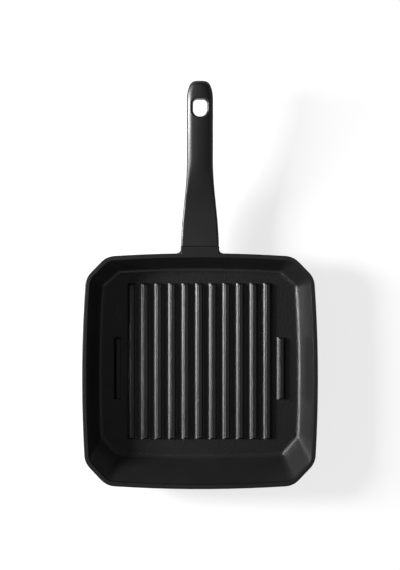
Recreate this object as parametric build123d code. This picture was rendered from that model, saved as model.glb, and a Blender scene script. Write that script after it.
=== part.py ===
"""Square grill pan: a ribbed aluminium casting with cut corners, a steel base plate and a two-shell handle.

The origin is the middle of the pan's underside, on the surface that the pan stands on. +Z is up and the
handle points along +Y. All lengths are in millimetres and all angles in degrees.
"""

import os
from math import cos, hypot, radians, sin

from build123d import *

# Pan casting
PAN_WIDTH = 280.4  # over the rim, from the middle of one side to the middle of the opposite one
PAN_HEIGHT = 42.0  # from the underside to the top of the rim
FLOOR_THICKNESS = 6.0
WALL_THICKNESS = 3.5
RIM_WIDTH = 5.3  # flat top of the rim
LIP_HEIGHT = 4.5
RIM_EDGE_RADIUS = 1.2
RIM_INNER_RADIUS = 1.0
SIDE_BOW_RADIUS = 1590.0  # each side is a flat arc
BOW_SHIFT = 8.0  # from the pan's middle to the widest place, away from the handle
SIDE_FLARE = 12.9  # how far the left, right and handle-side walls lean out on the inside
FRONT_FLARE = 28.0  # the same for the wall opposite the handle, which a spatula slides up
RIM_BACK_CUT = (29.2, 29.2)  # what a cut corner beside the handle takes, along X and along Y
RIM_FRONT_CUT = (29.2, 31.2)
FLOOR_BACK_CUT = (24.0, 20.6)
FLOOR_FRONT_CUT = (21.5, 25.6)
RIM_CORNER_RADIUS = 24.0
FLOOR_CORNER_RADIUS = 5.0
FLOOR_FILLET = 6.5
BASE_FILLET = 6.0

# Grill ribs on the floor
RIB_COUNT = 11
RIB_PITCH = 16.55
RIB_LENGTH = 190.0
RIB_SHIFT = 9.5  # from the middle of the pan towards the handle
SHORT_RIB_LENGTH = 75.5
SHORT_RIB_SHIFT = 0.7
RIB_WIDTH = 11.4  # at the foot
RIB_WAIST_WIDTH = 7.2  # where the flat foot of the flank turns steep
RIB_WAIST_HEIGHT = 1.3
RIB_TOP_WIDTH = 4.9
RIB_HEIGHT = 4.2
RIB_END_DRAFT = 1.7
RIB_EDGE_RADIUS = 0.9

# Steel plate let into the underside
PLATE_THICKNESS = 1.0
PLATE_MARGIN = 19.0  # from the edge of the underside
PLATE_CORNER_RADIUS = 12.0
PLATE_CLEARANCE = 0.1
STUD_RADIUS = 2.6  # the casting fills the plate's holes with round studs
STUD_CLEARANCE = 0.05
STUD_PITCH = 20.0
STUD_EDGE = 9.0  # least distance from a stud's middle to the plate's edge

# Neck and tongue, cast with the pan
NECK_OVERHANG = 0.3  # how far the neck stands out past the handle's sides
NECK_LENGTH = 8.2  # past the rim
NECK_FILLET = 4.5
WEB_WIDTH = 26.0
WEB_FOOT = 8.0  # height of the web's lower end on the wall
TONGUE_WIDTH = 27.0
TONGUE_THICKNESS = 5.0
TONGUE_LENGTH = 42.0
TONGUE_ROOT = 4.0  # how far back into the neck it starts
TONGUE_ANGLE = 5.0  # upwards along the handle
TONGUE_CORNER_RADIUS = 5.0
TONGUE_SIDE_CLEARANCE = 0.3

# Handle, as a whole
HANDLE_GAP = 0.1  # between the neck and the shells
HANDLE_LENGTH = 191.6
HANDLE_RISE = 26.0  # spread over the whole length
KNEE_RISE = 6.0  # added where the handle steps up into the grip
KNEE_START = 45.0  # places along the handle are measured from its neck end
KNEE_END = 105.0
NECK_THICKNESS = 20.0
TIP_THICKNESS = 15.0
HANDLE_WIDTH = 45.3  # at the neck
GRIP_WIDTH = 30.8
FLARE_LENGTH = 101.5  # over which the handle narrows to the grip
TIP_LENGTH = 22.0  # over which the outline rounds off
TIP_ROUND = 6.0  # over which the faces round off
TIP_BLUNTNESS = 3.6
STATION_STEP = 12.0  # between the cross-sections
TIP_STATIONS = 8
LAST_STATION = 0.25  # from the last cross-section to the very tip
NECK_CROWN = 0.3
GRIP_CROWN = 1.7
NECK_SHOULDER = 1.6  # width of the sloping shoulder beside the top face
NECK_SHOULDER_DROP = 1.1
GRIP_SHOULDER = 4.0
GRIP_SHOULDER_DROP = 2.4
SHOULDER_START = 55.0  # where the shoulder begins to widen
SHOULDER_END = 105.0
SIDE_DRAFT = 0.4  # how far the widest line stands out past the shoulder
SIDE_DEPTH = 9.6  # from the top face down to the widest line
NECK_CROWN_RADIUS = 3.0  # where the crown meets the shoulder
GRIP_CROWN_RADIUS = 12.0
NECK_SHOULDER_RADIUS = 1.4
GRIP_SHOULDER_RADIUS = 3.2
SIDE_RADIUS = 2.0
END_RADIUS = 0.6

# Shells
SHELL_WALL = 2.6
SEAM_DEPTH = 8.0  # from the top face
SEAM_GAP = 0.2
CAVITY_LENGTH = 138.0  # the shells are solid from there to the tip

# Hanging hole
HOLE_PLACE = 160.3  # its middle
HOLE_WIDTH = 16.2
HOLE_LENGTH = 20.4
HOLE_TIP_RADIUS = 5.2  # corners towards the tip
HOLE_GRIP_RADIUS = 7.6  # corners towards the grip
HOLE_EDGE_RADIUS = 2.4

# Screws through the tongue, one behind the other
TONGUE_SCREW_PLACES = (13.0, 31.0)  # from the neck's end face, along the tongue
SCREW_RADIUS = 2.5
SCREW_HEAD_RADIUS = 4.4
SCREW_HEAD_HEIGHT = 2.8
SCREW_CLEARANCE = 0.3
FIT_CLEARANCE = 0.05
SEAT_THICKNESS = 1.8
WASHER_RADIUS = 5.0
WASHER_THICKNESS = 1.0
SPRING_WASHER_RADIUS = 4.6
SPRING_WASHER_THICKNESS = 1.1
SPRING_WASHER_SPLIT = 0.9
SPRING_WASHER_SLANT = 30.0
SCREW_END_GAP = 0.4  # from the screw's end to the insert's end
INSERT_RADIUS = 3.6
INSERT_WAIST_RADIUS = 3.2
INSERT_LENGTH = 4.6
BOSS_RADIUS = 7.5

# Self-tapping screws that close the grip
GRIP_SCREW_PLACES = (82.0, 128.0)
GRIP_SCREW_RADIUS = 1.75
GRIP_SCREW_CLEARANCE = 0.25
GRIP_SCREW_LENGTH = 7.8
GRIP_SCREW_POINT = 1.8
GRIP_HEAD_RADIUS = 3.4
GRIP_HEAD_HEIGHT = 2.3
GRIP_HEAD_CLEARANCE = 0.4
GRIP_BOSS_RADIUS = 5.6
GRIP_SEAT_THICKNESS = 2.4
HEAD_ROUND_SHARE = 0.5  # rounding of a screw head's edge, as a share of its height
RECESS_DEPTH_SHARE = 0.6  # cross recess, as shares of the screw head's height and radius
RECESS_REACH_SHARE = 0.6
RECESS_WIDTH_SHARE = 0.24

CUT_MARGIN = 5.0  # how far a cut runs past what it cuts

# Derived places
HALF_PAN = PAN_WIDTH / 2
CAVITY_HALF = HALF_PAN - RIM_WIDTH
CAVITY_DEPTH = PAN_HEIGHT - FLOOR_THICKNESS
CUT_GROWTH = 2 - 2**0.5  # how much a 45 degree corner cut grows per unit that its outline moves out
NECK_END = HALF_PAN + NECK_LENGTH
HANDLE_START = NECK_END + HANDLE_GAP
NECK_MIDDLE = PAN_HEIGHT - NECK_THICKNESS / 2
NECK_WIDTH = HANDLE_WIDTH + 2 * NECK_OVERHANG
UP = (Align.CENTER, Align.CENTER, Align.MIN)  # a cylinder that stands on its place
DOWN = (Align.CENTER, Align.CENTER, Align.MAX)
SAME = 1e-4  # two corners closer than this are one corner


def smooth(share):
    """Rises from 0 to 1 with no slope at either end."""
    share = min(1.0, max(0.0, share))
    return share * share * (3 - 2 * share)


def round_off(distance, length, bluntness):
    """Falls from 1 to 0 over the last stretch of a rounded end."""
    share = 1 - min(1.0, distance / length)
    return (1 - share * share) ** (1 / bluntness)


# Handle's outer form


def handle_rise(place):
    """Height of the top face above the rim."""
    knee = smooth((place - KNEE_START) / (KNEE_END - KNEE_START))
    return HANDLE_RISE * smooth(place / HANDLE_LENGTH) + KNEE_RISE * knee


def handle_section(place, inset=0.0):
    """Cross-section: crowned top, two shoulders, two steep sides and a round belly.

    A positive inset gives the section of the hollow inside.
    """
    from_tip = HANDLE_LENGTH - place + LAST_STATION
    across = round_off(from_tip, TIP_LENGTH, TIP_BLUNTNESS)
    deep = round_off(from_tip, TIP_ROUND, 2)
    half = (HANDLE_WIDTH - (HANDLE_WIDTH - GRIP_WIDTH) * smooth(place / FLARE_LENGTH)) / 2 - inset
    thickness = NECK_THICKNESS - (NECK_THICKNESS - TIP_THICKNESS) * smooth(place / HANDLE_LENGTH)
    middle = PAN_HEIGHT + handle_rise(place) - thickness / 2
    swell = smooth((place - SHOULDER_START) / (SHOULDER_END - SHOULDER_START))
    crown = NECK_CROWN + (GRIP_CROWN - NECK_CROWN) * swell
    shoulder = NECK_SHOULDER + (GRIP_SHOULDER - NECK_SHOULDER) * swell
    drop = NECK_SHOULDER_DROP + (GRIP_SHOULDER_DROP - NECK_SHOULDER_DROP) * swell
    crown_radius = NECK_CROWN_RADIUS + (GRIP_CROWN_RADIUS - NECK_CROWN_RADIUS) * swell
    edge_radius = NECK_SHOULDER_RADIUS + (GRIP_SHOULDER_RADIUS - NECK_SHOULDER_RADIUS) * swell

    def at(x, depth):
        return (x * across, middle + (thickness / 2 - inset - depth) * deep)

    right = [
        at(half - SIDE_DRAFT - shoulder, crown),
        at(half - SIDE_DRAFT, crown + drop),
        at(half, SIDE_DEPTH - inset),
    ]
    left = [(-x, z) for x, z in right]
    with BuildSketch(Plane((0, HANDLE_START + place, 0), x_dir=(1, 0, 0), z_dir=(0, -1, 0))) as sketch:
        with BuildLine():
            ThreePointArc(left[0], at(0, 0), right[0])
            Polyline(*right)
            ThreePointArc(right[2], at(0, thickness - 2 * inset), left[2])
            Polyline(*reversed(left))
        make_face()
        for (x, z), radius in zip(right, (crown_radius, edge_radius, SIDE_RADIUS)):
            pair = [corner for corner in sketch.vertices() if hypot(abs(corner.X) - x, corner.Y - z) < SAME]
            fillet(pair, radius * min(across, deep))
    return sketch.sketch


def top_plane(place):
    """Plane on the handle's top face: its Y runs along the handle and its Z out of the face."""
    middle = (0, HANDLE_START + place, PAN_HEIGHT + handle_rise(place))
    climb = handle_rise(place + 1) - handle_rise(place - 1)
    return Plane(middle, x_dir=(1, 0, 0), z_dir=(0, -climb, 2))


# Pan casting


def bow(distance):
    """How far a side has drawn in at that distance from its widest place."""
    return distance**2 / (2 * SIDE_BOW_RADIUS)


def pan_outline(z, half, back, front, back_cut, front_cut, radius):
    """Face at height z: four bowed sides, four cut corners, and rounding where they meet."""
    low, high = front + front_cut[1], back - back_cut[1]
    back_end, front_end = half - back_cut[0], half - front_cut[0]
    right = [(half - bow(y + BOW_SHIFT), y) for y in (low, high)]
    left = [(-x, y) for x, y in right]
    top = [(x, back - bow(back_end)) for x in (-back_end, back_end)]
    bottom = [(x, front + bow(front_end)) for x in (-front_end, front_end)]
    with BuildSketch(Plane.XY.offset(z)) as sketch:
        with BuildLine():
            ThreePointArc(right[0], (half, -BOW_SHIFT), right[1])
            Line(right[1], top[1])
            ThreePointArc(top[1], (0, back), top[0])
            Line(top[0], left[1])
            ThreePointArc(left[1], (-half, -BOW_SHIFT), left[0])
            Line(left[0], bottom[0])
            ThreePointArc(bottom[0], (0, front), bottom[1])
            Line(bottom[1], right[0])
        make_face()
        fillet(sketch.vertices(), radius)
    return sketch.sketch


def inner_wall(z, flare):
    """Distance from the pan's middle to the inside of a wall with that flare, at height z."""
    return CAVITY_HALF - flare * (PAN_HEIGHT - z) / CAVITY_DEPTH


def outer_wall(z, flare):
    """The same for the outside: WALL_THICKNESS square to the wall."""
    return inner_wall(z, flare) + WALL_THICKNESS * hypot(1, flare / CAVITY_DEPTH)


def wall_outline(z, wall, thickness=0.0):
    """Outline at height z of the wall's inside, or of its outside, which is a thickness further out."""
    lift = (z - FLOOR_THICKNESS) / CAVITY_DEPTH
    widening, narrowing = thickness * CUT_GROWTH, RIM_WIDTH * CUT_GROWTH
    back_cut, front_cut = [
        [low + (high - narrowing - low) * lift + widening for low, high in zip(floor, rim)]
        for floor, rim in ((FLOOR_BACK_CUT, RIM_BACK_CUT), (FLOOR_FRONT_CUT, RIM_FRONT_CUT))
    ]
    rim_radius = RIM_CORNER_RADIUS - RIM_WIDTH
    radius = FLOOR_CORNER_RADIUS + (rim_radius - FLOOR_CORNER_RADIUS) * lift + thickness
    side = wall(z, SIDE_FLARE)
    return pan_outline(z, side, side, -wall(z, FRONT_FLARE), back_cut, front_cut, radius)


def make_rib(x, y, length):
    """One rib, standing on the floor: its flanks start flat and turn steep, and its top is rounded off."""
    levels = ((0, RIB_WIDTH), (RIB_WAIST_HEIGHT, RIB_WAIST_WIDTH), (RIB_HEIGHT, RIB_TOP_WIDTH))
    outlines = []
    for height, width in levels:
        outline = Rectangle(width, length - 2 * RIB_END_DRAFT * height / RIB_HEIGHT)
        outlines.append(Plane.XY.offset(FLOOR_THICKNESS + height) * Pos(x, y) * outline)
    rib = loft(outlines, ruled=True)
    return fillet(rib.edges().group_by(Axis.Z)[-1], RIB_EDGE_RADIUS)


def make_ribs():
    """The full-length ribs and the short one beside them on each side."""
    outer = (RIB_COUNT + 1) / 2 * RIB_PITCH
    places = [(index - (RIB_COUNT - 1) / 2) * RIB_PITCH for index in range(RIB_COUNT)]
    ribs = [make_rib(x, RIB_SHIFT, RIB_LENGTH) for x in places]
    return ribs + [make_rib(x, SHORT_RIB_SHIFT, SHORT_RIB_LENGTH) for x in (-outer, outer)]


def make_neck(cavity):
    """Block behind the rim that the handle butts against, rounded into the rim, with a web below it."""
    half, widest = NECK_WIDTH / 2, PAN_HEIGHT - SIDE_DEPTH
    with BuildSketch(Plane((0, NECK_END, 0), x_dir=(1, 0, 0), z_dir=(0, -1, 0))) as end:
        with BuildLine():
            Polyline((-half, widest), (-half, PAN_HEIGHT), (half, PAN_HEIGHT), (half, widest))
            ThreePointArc((half, widest), (0, PAN_HEIGHT - NECK_THICKNESS), (-half, widest))
        make_face()
        fillet(end.vertices().group_by(Axis.Y)[-1], RIM_EDGE_RADIUS)
        fillet(end.vertices().group_by(Axis.Y)[0], SIDE_RADIUS)
    block = extrude(end.sketch, NECK_END - inner_wall(PAN_HEIGHT - NECK_THICKNESS, SIDE_FLARE))
    block = fillet(block.edges().group_by(Axis.Y)[-1], END_RADIUS)
    side = [
        (inner_wall(WEB_FOOT, SIDE_FLARE), WEB_FOOT),
        (outer_wall(WEB_FOOT, SIDE_FLARE), WEB_FOOT),
        (NECK_END - NECK_LENGTH / 2, NECK_MIDDLE - NECK_THICKNESS / 4),
        (NECK_END - NECK_LENGTH / 2, NECK_MIDDLE),
        (inner_wall(NECK_MIDDLE, SIDE_FLARE), NECK_MIDDLE),
    ]
    web = extrude(Plane.YZ * make_face(Polyline(*side, close=True)), WEB_WIDTH / 2, both=True)
    root = HALF_PAN - RIM_WIDTH / 2
    corner = Rectangle(NECK_FILLET, HALF_PAN + NECK_FILLET - root, align=(Align.MIN, Align.MIN))
    rounding = Pos(half + NECK_FILLET, HALF_PAN + NECK_FILLET) * Circle(NECK_FILLET)
    corner = Pos(half, root) * corner - rounding
    corner = Pos(0, 0, PAN_HEIGHT - LIP_HEIGHT) * extrude(corner, LIP_HEIGHT - RIM_EDGE_RADIUS)
    return block + web + corner + mirror(corner, Plane.YZ) - Pos(0, WALL_THICKNESS / 2) * cavity


def tongue_plane():
    """Plane through the middle of the tongue: its Y runs along the tongue and its Z out of the top."""
    angle = radians(TONGUE_ANGLE)
    return Plane((0, NECK_END, NECK_MIDDLE), x_dir=(1, 0, 0), z_dir=(0, -sin(angle), cos(angle)))


def tongue_outline(clearance=0.0):
    """Outline of the tongue, from its root inside the neck to its rounded end."""
    outline = RectangleRounded(
        TONGUE_WIDTH + 2 * clearance, 2 * (TONGUE_LENGTH + clearance), TONGUE_CORNER_RADIUS + clearance
    )
    return outline & Pos(0, -TONGUE_ROOT) * Rectangle(PAN_WIDTH, PAN_WIDTH, align=(Align.CENTER, Align.MIN))


def make_tongue():
    """Flat bar that runs from the neck into the handle, with a hole for each screw."""
    outline = tongue_outline()
    for place in TONGUE_SCREW_PLACES:
        outline -= Pos(0, place) * Circle(SCREW_RADIUS + SCREW_CLEARANCE)
    return extrude(tongue_plane() * outline, TONGUE_THICKNESS / 2, both=True)


def plate_outline(clearance):
    """Outline of the base plate, or of the recess that it sits in."""
    inset = PLATE_MARGIN - clearance
    half = outer_wall(0, SIDE_FLARE) - inset
    front = outer_wall(0, FRONT_FLARE) - inset
    radius = PLATE_CORNER_RADIUS + clearance
    return pan_outline(0, half, half, -front, FLOOR_BACK_CUT, FLOOR_FRONT_CUT, radius)


def stud_places():
    """Staggered rows of studs over the plate, clear of its edge and cut corners."""
    half = outer_wall(0, SIDE_FLARE) - PLATE_MARGIN - STUD_EDGE
    front = outer_wall(0, FRONT_FLARE) - PLATE_MARGIN - STUD_EDGE
    middle = (half - front) / 2
    row_pitch = STUD_PITCH * sin(radians(60))
    rows = int((half + front) / 2 / row_pitch)
    columns = int(half / STUD_PITCH) + 1
    places = []
    for row in range(-rows, rows + 1):
        for column in range(-columns, columns + 1):
            x, y = (column + row % 2 / 2) * STUD_PITCH, row * row_pitch
            in_corner = abs(x) + abs(y) > half + (half + front) / 2 - max(FLOOR_BACK_CUT)
            if abs(x) <= half - bow(half) and not in_corner:
                places.append((x, middle + y))
    return places


def with_stud_holes(outline, radius):
    """The outline as a face with a round hole at every stud."""
    holes = [Wire(Pos(x, y) * Edge.make_circle(radius)) for x, y in stud_places()]
    return Face(outline.face().outer_wire(), holes)


def make_pan_body():
    """The casting: walls, floor, rim, ribs, neck and tongue in one piece."""
    lip_z = PAN_HEIGHT - LIP_HEIGHT
    shell = loft([wall_outline(z, outer_wall, WALL_THICKNESS) for z in (0, lip_z)], ruled=True)
    shell = fillet(shell.edges().group_by(Axis.Z)[0], BASE_FILLET)
    size = (HALF_PAN, HALF_PAN, -HALF_PAN)
    lip = extrude(pan_outline(lip_z, *size, RIM_BACK_CUT, RIM_FRONT_CUT, RIM_CORNER_RADIUS), LIP_HEIGHT)
    lip = fillet(lip.edges().group_by(Axis.Z)[-1], RIM_EDGE_RADIUS)
    top = PAN_HEIGHT + CUT_MARGIN
    cavity = loft([wall_outline(FLOOR_THICKNESS, inner_wall), wall_outline(top, inner_wall)], ruled=True)
    cavity = fillet(cavity.edges().group_by(Axis.Z)[0], FLOOR_FILLET)
    solid = shell + lip
    dish = solid - cavity
    mouth = [edge for edge in new_edges(solid, cavity, combined=dish) if (edge @ 0.5).Z > PAN_HEIGHT - SAME]
    dish = fillet(mouth, RIM_INNER_RADIUS)
    recess = extrude(with_stud_holes(plate_outline(PLATE_CLEARANCE), STUD_RADIUS), PLATE_THICKNESS)
    return dish + make_neck(cavity) - recess + make_ribs() + make_tongue()


def make_base_plate():
    """Steel plate in the underside, with a hole round every stud of the casting."""
    return extrude(with_stud_holes(plate_outline(0), STUD_RADIUS + STUD_CLEARANCE), PLATE_THICKNESS)


# Handle


def handle_loft(places, inset=0.0):
    """Smooth solid through the handle's cross-sections at those places."""
    return loft([handle_section(place, inset) for place in places])


def above_seam(offset):
    """Everything above the seam, which follows the top face, moved up by an offset."""
    reach = HANDLE_LENGTH + 2 * CUT_MARGIN
    steps = int(reach / STATION_STEP)
    places = [index * reach / steps - CUT_MARGIN for index in range(steps + 1)]
    seam = Spline(*[(HANDLE_START + p, PAN_HEIGHT + handle_rise(p) - SEAM_DEPTH + offset) for p in places])
    ceiling = PAN_HEIGHT + HANDLE_RISE + KNEE_RISE + CUT_MARGIN
    lid = Polyline(seam @ 1, ((seam @ 1).X, ceiling), ((seam @ 0).X, ceiling), seam @ 0)
    return extrude(Plane.YZ * make_face([seam, lid]), HANDLE_WIDTH, both=True)


def make_handle_form():
    """The whole handle as one piece, with the hanging hole through it."""
    body_length = HANDLE_LENGTH - TIP_LENGTH
    steps = round(body_length / STATION_STEP)
    body = [index * body_length / steps for index in range(steps)]
    shares = [index / TIP_STATIONS for index in range(TIP_STATIONS + 1)]
    form = handle_loft(body + [HANDLE_LENGTH - TIP_LENGTH * (1 - share) ** 2 for share in shares])
    form = fillet(form.edges().group_by(Axis.Y)[0], END_RADIUS)
    low = PAN_HEIGHT - NECK_THICKNESS
    with BuildSketch(Plane((0, HANDLE_START + HOLE_PLACE, low))) as outline:
        Rectangle(HOLE_WIDTH, HOLE_LENGTH)
        fillet(outline.vertices().group_by(Axis.Y)[-1], HOLE_TIP_RADIUS)
        fillet(outline.vertices().group_by(Axis.Y)[0], HOLE_GRIP_RADIUS)
    hole = extrude(outline.sketch, PAN_WIDTH)
    holed = form - hole
    rim = [edge for edge in new_edges(form, hole, combined=holed) if abs((edge % 0.5).Z) < cos(radians(45))]
    return fillet(rim, HOLE_EDGE_RADIUS)


def rod(plane, place, low, high, radius):
    """Cylinder square to the plane, from low to high above it, at a place along its Y."""
    return plane * Pos(0, place, low) * Cylinder(radius, high - low, align=UP)


def make_shells():
    """Upper and lower shell, split along the seam and hollow as far as the hanging hole."""
    form = make_handle_form()
    steps = round(CAVITY_LENGTH / STATION_STEP)
    depth = (CAVITY_LENGTH - SHELL_WALL) / steps
    hollow = handle_loft([SHELL_WALL + index * depth for index in range(steps + 1)], SHELL_WALL)
    tongue = tongue_plane()
    reach = NECK_THICKNESS  # long enough to run out of the handle
    upper_face, lower_face = TONGUE_THICKNESS / 2, -TONGUE_THICKNESS / 2
    seat = lower_face - SEAT_THICKNESS
    upper_cuts, lower_cuts = [], []
    for place in TONGUE_SCREW_PLACES:
        hollow -= rod(tongue, place, upper_face, reach, BOSS_RADIUS)
        hollow -= rod(tongue, place, -reach, lower_face, BOSS_RADIUS)
        upper_cuts.append(rod(tongue, place, 0, upper_face + INSERT_LENGTH, INSERT_RADIUS + FIT_CLEARANCE))
        lower_cuts.append(rod(tongue, place, -reach, 0, SCREW_RADIUS + SCREW_CLEARANCE))
        lower_cuts.append(rod(tongue, place, -reach, seat, WASHER_RADIUS + SCREW_CLEARANCE))
    for place in GRIP_SCREW_PLACES:
        top = top_plane(place)
        seat = -SEAM_DEPTH - GRIP_SEAT_THICKNESS
        hollow -= rod(top, 0, -2 * reach, reach, GRIP_BOSS_RADIUS)
        end = seat + GRIP_SCREW_LENGTH
        upper_cuts.append(rod(top, 0, -2 * reach, end, GRIP_SCREW_RADIUS + FIT_CLEARANCE))
        lower_cuts.append(rod(top, 0, -2 * reach, reach, GRIP_SCREW_RADIUS + GRIP_SCREW_CLEARANCE))
        lower_cuts.append(rod(top, 0, -2 * reach, seat, GRIP_HEAD_RADIUS + GRIP_HEAD_CLEARANCE))
    slot = extrude(tongue * tongue_outline(TONGUE_SIDE_CLEARANCE), TONGUE_THICKNESS / 2, both=True)
    shell = form - hollow - slot
    upper = shell & above_seam(SEAM_GAP / 2)
    lower = shell - above_seam(-SEAM_GAP / 2)
    return upper - upper_cuts, lower - lower_cuts


# Fasteners


def make_screw(shaft_radius, shaft_length, head_radius, head_height, point=0.0):
    """Cross-recessed screw with its head's seat at the origin and its shaft upwards."""
    head = Cylinder(head_radius, head_height, align=DOWN)
    head = fillet(head.edges().group_by(Axis.Z)[0], head_height * HEAD_ROUND_SHARE)
    reach, width = 2 * head_radius * RECESS_REACH_SHARE, 2 * head_radius * RECESS_WIDTH_SHARE
    arm = Pos(0, 0, -head_height) * Box(reach, width, head_height * RECESS_DEPTH_SHARE, align=UP)
    shaft = Cylinder(shaft_radius, shaft_length - point, align=UP)
    screw = head - arm - Rot(0, 0, 90) * arm + shaft
    if point:
        screw += Pos(0, 0, shaft_length - point) * Cone(shaft_radius, shaft_radius / 4, point, align=UP)
    return screw


def make_tongue_screws():
    """Machine screws, from below, through both washers, the lower shell and the tongue."""
    stack = SEAT_THICKNESS + WASHER_THICKNESS + SPRING_WASHER_THICKNESS
    length = stack + TONGUE_THICKNESS + INSERT_LENGTH - SCREW_END_GAP
    screw = make_screw(SCREW_RADIUS, length, SCREW_HEAD_RADIUS, SCREW_HEAD_HEIGHT)
    seat = -TONGUE_THICKNESS / 2 - stack
    return Compound([tongue_plane() * Pos(0, place, seat) * screw for place in TONGUE_SCREW_PLACES])


def make_washers():
    """Flat washers, against the lower shell."""
    ring = Cylinder(WASHER_RADIUS, WASHER_THICKNESS, align=DOWN)
    ring -= Cylinder(SCREW_RADIUS + SCREW_CLEARANCE, WASHER_THICKNESS, align=DOWN)
    seat = -TONGUE_THICKNESS / 2 - SEAT_THICKNESS
    return Compound([tongue_plane() * Pos(0, place, seat) * ring for place in TONGUE_SCREW_PLACES])


def make_spring_washers():
    """Split spring washers, between the flat washers and the screw heads."""
    ring = Cylinder(SPRING_WASHER_RADIUS, SPRING_WASHER_THICKNESS, align=DOWN)
    ring -= Cylinder(SCREW_RADIUS + SCREW_CLEARANCE, SPRING_WASHER_THICKNESS, align=DOWN)
    split = Box(2 * SPRING_WASHER_RADIUS, SPRING_WASHER_SPLIT, 4 * SPRING_WASHER_THICKNESS)
    ring -= Pos(SPRING_WASHER_RADIUS) * Rot(SPRING_WASHER_SLANT, 0, 0) * split
    seat = -TONGUE_THICKNESS / 2 - SEAT_THICKNESS - WASHER_THICKNESS
    return Compound([tongue_plane() * Pos(0, place, seat) * ring for place in TONGUE_SCREW_PLACES])


def make_inserts():
    """Brass threaded inserts in the upper shell's bosses, waisted so that the moulding grips them."""
    third = INSERT_LENGTH / 3
    flange = Cylinder(INSERT_RADIUS, third, align=UP)
    insert = flange + Cylinder(INSERT_WAIST_RADIUS, INSERT_LENGTH, align=UP) + Pos(0, 0, 2 * third) * flange
    insert -= Cylinder(SCREW_RADIUS + FIT_CLEARANCE, INSERT_LENGTH, align=UP)
    seat = TONGUE_THICKNESS / 2
    return Compound([tongue_plane() * Pos(0, place, seat) * insert for place in TONGUE_SCREW_PLACES])


def make_grip_screws():
    """Self-tapping screws, from below, through the lower shell into the upper one."""
    head = (GRIP_HEAD_RADIUS, GRIP_HEAD_HEIGHT)
    screw = make_screw(GRIP_SCREW_RADIUS, GRIP_SCREW_LENGTH, *head, GRIP_SCREW_POINT)
    seat = -SEAM_DEPTH - GRIP_SEAT_THICKNESS
    return Compound([top_plane(place) * Pos(0, 0, seat) * screw for place in GRIP_SCREW_PLACES])


upper_shell, lower_shell = make_shells()
PARTS = {
    "pan_body": make_pan_body(),
    "base_plate": make_base_plate(),
    "handle_upper_shell": upper_shell,
    "handle_lower_shell": lower_shell,
    "tongue_screws": make_tongue_screws(),
    "spring_washers": make_spring_washers(),
    "flat_washers": make_washers(),
    "threaded_inserts": make_inserts(),
    "grip_screws": make_grip_screws(),
}

os.makedirs("parts", exist_ok=True)
for name, part in PARTS.items():
    export_step(part, f"parts/{name}.step")
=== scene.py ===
"""The looks of the square grill pan: finishes, a pale floor, soft studio light and the photograph's camera.

Lengths are in metres. The pan's floor looks up along +Z and the handle points along +Y.
"""

from math import cos, radians, sin

import bpy
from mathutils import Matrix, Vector

# Camera, straight above the picture's middle
RIM_HEIGHT = 0.042
CAMERA_ABOVE_RIM = 1.33
CAMERA_Y = 0.1024
PICTURE_LENGTH_AT_RIM = 0.6766  # what the picture's longer side covers
SENSOR = 36.0  # its longer side, in millimetres

# Coating: heights between which one finish turns into the next, from the underside up
UNDERSIDE_FADE = (0.0003, 0.0005)
GRAIN_FADE = (0.011, 0.017)
RIM_FADE = (0.0402, 0.041)
COATING_GRAIN = 0.0017
COATING_GRAIN_DEPTH = 0.0006
WALL_GRAIN = 0.15  # share of the depth that is left above the fade
RIM_ROUGHNESS = 0.36
RIM_SHADE_TURN = (0.85, 0.97)  # Z of the normal where the rim's rounded edges get their reflection turned down as painted shade, and where its top starts
TURNING_PITCH = 0.0009  # of the turned lines on the underside
TURNING_DEPTH = 0.00002

# Handle
PLASTIC_GRAIN = 0.0007
PLASTIC_GRAIN_DEPTH = 0.00003
SIDE_SHADE_TURN = (0.5, 0.85)  # Z of the normal where the handle's sides get their reflection turned down as painted shade, and where its top starts

# All finishes
GLOSSY = 0.5  # specular levels
# painted shade: the rim's rounded edges keep little reflection, so they stay dark
PAINTED_SHADE_RIM_EDGE = 0.1
# painted shade: the handle's steep sides keep little reflection, so its outline stays dark
PAINTED_SHADE_SIDE = 0.15
COATING_CLOUD = 0.03  # size of the faint patches of tone
PLASTIC_CLOUD = 0.04
METAL_GRAIN_DEPTH = 0.02  # as a share of the grain's size
METAL_SHADE = 0.82  # darkest tone of a bare metal, as a share of its colour

# Light, with directions in degrees: azimuth from -X towards +Y, and elevation above the floor
SOFTBOX_AZIMUTH = 12
SOFTBOX_ELEVATION = 26
SOFTBOX_DISTANCE = 1.45
SOFTBOX_SIZE = 0.4
SOFTBOX_WATTS = 50
HORIZON = 0.8
BRIGHT_SIDE = (-0.15, -0.6, 0)  # the way in which the horizon is brighter, and by what share
WALL_TOP = (0.3, 0.7)  # Z of the direction where the walls end, and where the ceiling starts
CEILING = 0.07
OVERHEAD = 0.62  # pale patch of ceiling above the pan
OVERHEAD_WAY = (0.06, 0.1, 0.993)
OVERHEAD_EDGE = (0.94, 0.995)  # cosine of the angle from there to the patch's edge, outer and inner
FLOOR_SIZE = 12.0
FLOOR_LEVEL = 0.3
FLOOR_GLOW = 0.75


def linear(level):
    """Scene value of a display level from 0 to 255."""
    share = level / 255
    return share / 12.92 if share <= 0.04045 else ((share + 0.055) / 1.055) ** 2.4


def grey(level, warmth=0.0):
    """Nearly neutral colour of that display level."""
    return (linear(level * (1 + warmth)), linear(level), linear(level * (1 - warmth)), 1)


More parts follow.
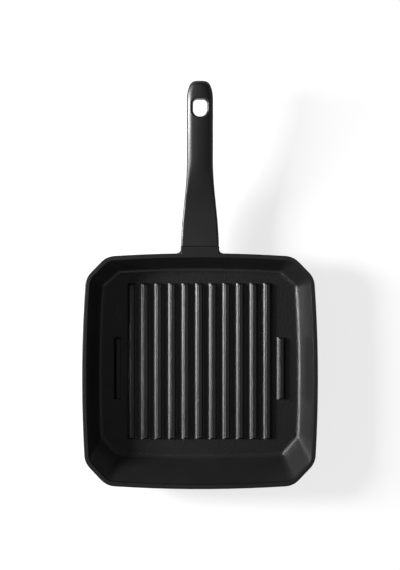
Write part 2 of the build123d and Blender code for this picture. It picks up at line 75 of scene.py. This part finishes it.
class Shader:
    """Node tree of a material, or of a world, with a short way to add and join nodes."""

    def __init__(self, name, world=None):
        self.block = world or bpy.data.materials.new(name)
        self.block.use_nodes = True
        self.tree = self.block.node_tree
        self.tree.nodes.clear()
        self.output = self.tree.nodes.new("ShaderNodeOutputWorld" if world else "ShaderNodeOutputMaterial")

    def add(self, kind, inputs=None, **settings):
        """A node of that kind. An input is a plain value, or the socket that feeds it."""
        node = self.tree.nodes.new("ShaderNode" + kind)
        for key, value in settings.items():
            setattr(node, key, value)
        for key, value in (inputs or {}).items():
            if isinstance(value, bpy.types.NodeSocket):
                self.tree.links.new(value, node.inputs[key])
            else:
                node.inputs[key].default_value = value
        return node

    def place(self):
        """Position on the object, in metres."""
        return self.add("TexCoord").outputs["Object"]

    def split(self, vector):
        """The vector's X, Y and Z."""
        return self.add("SeparateXYZ", {"Vector": vector}).outputs

    def level(self, steep, flat):
        """0 where the surface is that steep, 1 where it is that flat; each is the Z of its normal."""
        normal = self.add("NewGeometry").outputs["Normal"]
        return self.between(self.split(normal)["Z"], steep, flat, 0, 1)

    def noise(self, size, detail=2.0, place=None):
        """Soft random pattern whose features are about that size."""
        inputs = {"Vector": place or self.place(), "Scale": 1 / size, "Detail": detail}
        return self.add("TexNoise", inputs).outputs["Fac"]

    def between(self, value, low, high, new_low, new_high):
        """The value, stretched from one range to another."""
        inputs = {"Value": value, 1: low, 2: high, 3: new_low, 4: new_high}
        return self.add("MapRange", inputs).outputs["Result"]

    def vary(self, pattern, low, high, spread=0.2):
        """A value that follows the pattern, from 0.5 less the spread to 0.5 more, between low and high."""
        return self.between(pattern, 0.5 - spread, 0.5 + spread, low, high)

    def cloud(self, size):
        """Faint patches of that size, from 0 to 1."""
        return self.vary(self.noise(size), 0, 1, spread=0.15)

    def highest(self, first, *others):
        """The greatest of those values."""
        for other in others:
            first = self.add("Math", {0: first, 1: other}, operation="MAXIMUM").outputs["Value"]
        return first

    def dot(self, vector, way):
        """How far the vector reaches along that way."""
        return self.add("VectorMath", {0: vector, 1: way}, operation="DOT_PRODUCT").outputs["Value"]

    def blend(self, share, first, second):
        """Colour between two others."""
        return self.add("Mix", {"Factor": share, 6: first, 7: second}, data_type="RGBA").outputs[2]

    def bump(self, height, distance, strength=1.0):
        """Surface normal with that pattern raised by that distance."""
        inputs = {"Height": height, "Distance": distance, "Strength": strength}
        return self.add("Bump", inputs).outputs["Normal"]

    def finish(self, surface):
        self.tree.links.new(surface, self.output.inputs["Surface"])
        return self.block


def coated_casting():
    """Black non-stick coating, grainy inside the pan and plainer on the rim, and bare metal underneath."""
    shader = Shader("coated_casting")
    grain = shader.noise(COATING_GRAIN)
    height = shader.split(shader.place())["Z"]
    inside = shader.between(height, *RIM_FADE, 1, 0)
    # Full gloss inside the pan and on the rim's flat top; the rim's rounded edges keep little reflection, a
    # painted shade
    unshaded_gloss = shader.highest(inside, shader.level(*RIM_SHADE_TURN))
    coat = shader.add("BsdfPrincipled", {
        "Base Color": shader.blend(shader.cloud(COATING_CLOUD), grey(19), grey(22)),
        "Roughness": shader.between(inside, 0, 1, RIM_ROUGHNESS, shader.vary(grain, 0.34, 0.38)),
        "Specular IOR Level": shader.between(unshaded_gloss, 0, 1, PAINTED_SHADE_RIM_EDGE, GLOSSY),
        "Normal": shader.bump(
            grain, COATING_GRAIN_DEPTH, strength=shader.between(height, *GRAIN_FADE, 1, WALL_GRAIN)
        ),
    })
    rings = shader.add("TexWave", {
        "Vector": shader.place(), "Scale": 1 / TURNING_PITCH, "Distortion": 0.4,
    }, wave_type="RINGS", rings_direction="Z").outputs["Fac"]
    bare = shader.add("BsdfPrincipled", {
        "Base Color": shader.blend(rings, grey(205), grey(222)),
        "Metallic": 1.0,
        "Roughness": shader.vary(grain, 0.3, 0.4),
        "Normal": shader.bump(rings, TURNING_DEPTH),
    })
    underneath = shader.between(height, *UNDERSIDE_FADE, 1, 0)
    both = shader.add("MixShader", {0: underneath, 1: coat.outputs["BSDF"], 2: bare.outputs["BSDF"]})
    return shader.finish(both.outputs["Shader"])


def handle_plastic():
    """Satin black moulding, whose steep sides keep little reflection, a painted shade that keeps its
    outline dark.
    """
    shader = Shader("handle_plastic")
    grain = shader.noise(PLASTIC_GRAIN)
    plastic = shader.add("BsdfPrincipled", {
        "Base Color": shader.blend(shader.cloud(PLASTIC_CLOUD), grey(24), grey(27)),
        "Roughness": shader.vary(grain, 0.34, 0.4),
        # Reflection turned down on the steep sides, a painted shade
        "Specular IOR Level": shader.between(shader.level(*SIDE_SHADE_TURN), 0, 1, PAINTED_SHADE_SIDE, GLOSSY),
        "Normal": shader.bump(grain, PLASTIC_GRAIN_DEPTH),
    })
    return shader.finish(plastic.outputs["BSDF"])


def metal(name, colour, roughness, grain_size, stretch=1.0):
    """Bare metal with a grain that is drawn out along X."""
    shader = Shader(name)
    place = shader.add("Mapping", {"Vector": shader.place(), "Scale": (1 / stretch, 1, 1)})
    grain = shader.noise(grain_size, detail=4, place=place.outputs["Vector"])
    shade = [channel * METAL_SHADE for channel in colour[:3]] + [1]
    bare = shader.add("BsdfPrincipled", {
        "Base Color": shader.blend(grain, shade, colour),
        "Metallic": 1.0,
        "Roughness": shader.vary(grain, roughness * 0.85, roughness * 1.2),
        "Normal": shader.bump(grain, grain_size * METAL_GRAIN_DEPTH),
    })
    return shader.finish(bare.outputs["BSDF"])


MATERIALS = {
    "pan_body": coated_casting(),
    "base_plate": metal("steel_plate", grey(176, 0.01), 0.3, 0.0003, stretch=40),
    "handle": handle_plastic(),
    "screw": metal("zinc_steel", grey(200), 0.28, 0.0004),
    "brass": metal("brass", (0.56, 0.38, 0.12, 1), 0.3, 0.0004),
}
FINISHES = {
    "pan_body": "pan_body",
    "base_plate": "base_plate",
    "handle_upper_shell": "handle",
    "handle_lower_shell": "handle",
    "tongue_screws": "screw",
    "spring_washers": "screw",
    "flat_washers": "screw",
    "threaded_inserts": "brass",
    "grip_screws": "screw",
}


def make_floor():
    """Pale floor that shows white and still takes the pan's shadow."""
    bpy.ops.mesh.primitive_plane_add(size=FLOOR_SIZE)
    floor = bpy.context.object
    floor.name = "floor"
    shader = Shader("floor")
    path = shader.add("LightPath").outputs
    seen = shader.highest(path["Is Camera Ray"], path["Is Glossy Ray"], path["Is Transmission Ray"])
    matt = shader.add("BsdfDiffuse", {"Color": (FLOOR_LEVEL, FLOOR_LEVEL, FLOOR_LEVEL, 1)})
    glow = shader.add("Emission", {"Strength": shader.between(seen, 0, 1, 0, FLOOR_GLOW)})
    both = shader.add("AddShader", {0: matt.outputs["BSDF"], 1: glow.outputs["Emission"]})
    floor.data.materials.append(shader.finish(both.outputs["Shader"]))


def make_softbox():
    """Bright square lamp, low on the left and a little towards the handle's end."""
    lamp = bpy.data.lights.new("softbox", "AREA")
    lamp.size = SOFTBOX_SIZE
    lamp.energy = SOFTBOX_WATTS
    softbox = bpy.data.objects.new("softbox", lamp)
    bpy.context.scene.collection.objects.link(softbox)
    azimuth, elevation = radians(SOFTBOX_AZIMUTH), radians(SOFTBOX_ELEVATION)
    away = Vector((-cos(azimuth) * cos(elevation), sin(azimuth) * cos(elevation), sin(elevation)))
    softbox.location = away * SOFTBOX_DISTANCE
    softbox.rotation_euler = away.to_track_quat("Z", "Y").to_euler()


def make_studio():
    """Pale walls, brighter in front and on the left, and a dark ceiling with a pale patch overhead."""
    shader = Shader("studio", bpy.data.worlds.new("studio"))
    direction = shader.add("TexCoord").outputs["Generated"]
    walls = shader.between(shader.dot(direction, BRIGHT_SIDE), -1, 1, 0, 2 * HORIZON)
    ceiling = shader.between(shader.dot(direction, OVERHEAD_WAY), *OVERHEAD_EDGE, CEILING, OVERHEAD)
    light = shader.between(shader.split(direction)["Z"], *WALL_TOP, walls, ceiling)
    shader.finish(shader.add("Background", {"Strength": light}).outputs["Background"])
    bpy.context.scene.world = shader.block


def make_camera():
    """Straight down over the middle of the picture, with the handle towards its top."""
    lens = bpy.data.cameras.new("camera")
    lens.sensor_width = SENSOR
    lens.lens = SENSOR * CAMERA_ABOVE_RIM / PICTURE_LENGTH_AT_RIM
    camera = bpy.data.objects.new("camera", lens)
    bpy.context.scene.collection.objects.link(camera)
    camera.location = (0, CAMERA_Y, RIM_HEIGHT + CAMERA_ABOVE_RIM)
    bpy.context.scene.camera = camera


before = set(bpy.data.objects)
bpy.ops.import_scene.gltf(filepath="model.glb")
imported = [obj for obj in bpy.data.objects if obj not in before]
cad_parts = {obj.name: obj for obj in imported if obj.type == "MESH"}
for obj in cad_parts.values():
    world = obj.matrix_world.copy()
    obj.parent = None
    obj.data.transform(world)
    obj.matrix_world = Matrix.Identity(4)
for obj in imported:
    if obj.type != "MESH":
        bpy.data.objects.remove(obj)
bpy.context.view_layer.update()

for name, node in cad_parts.items():
    node.data.materials.clear()
    node.data.materials.append(MATERIALS[FINISHES[name]])

make_floor()
make_softbox()
make_studio()
make_camera()
bpy.context.scene.view_settings.view_transform = "Standard"
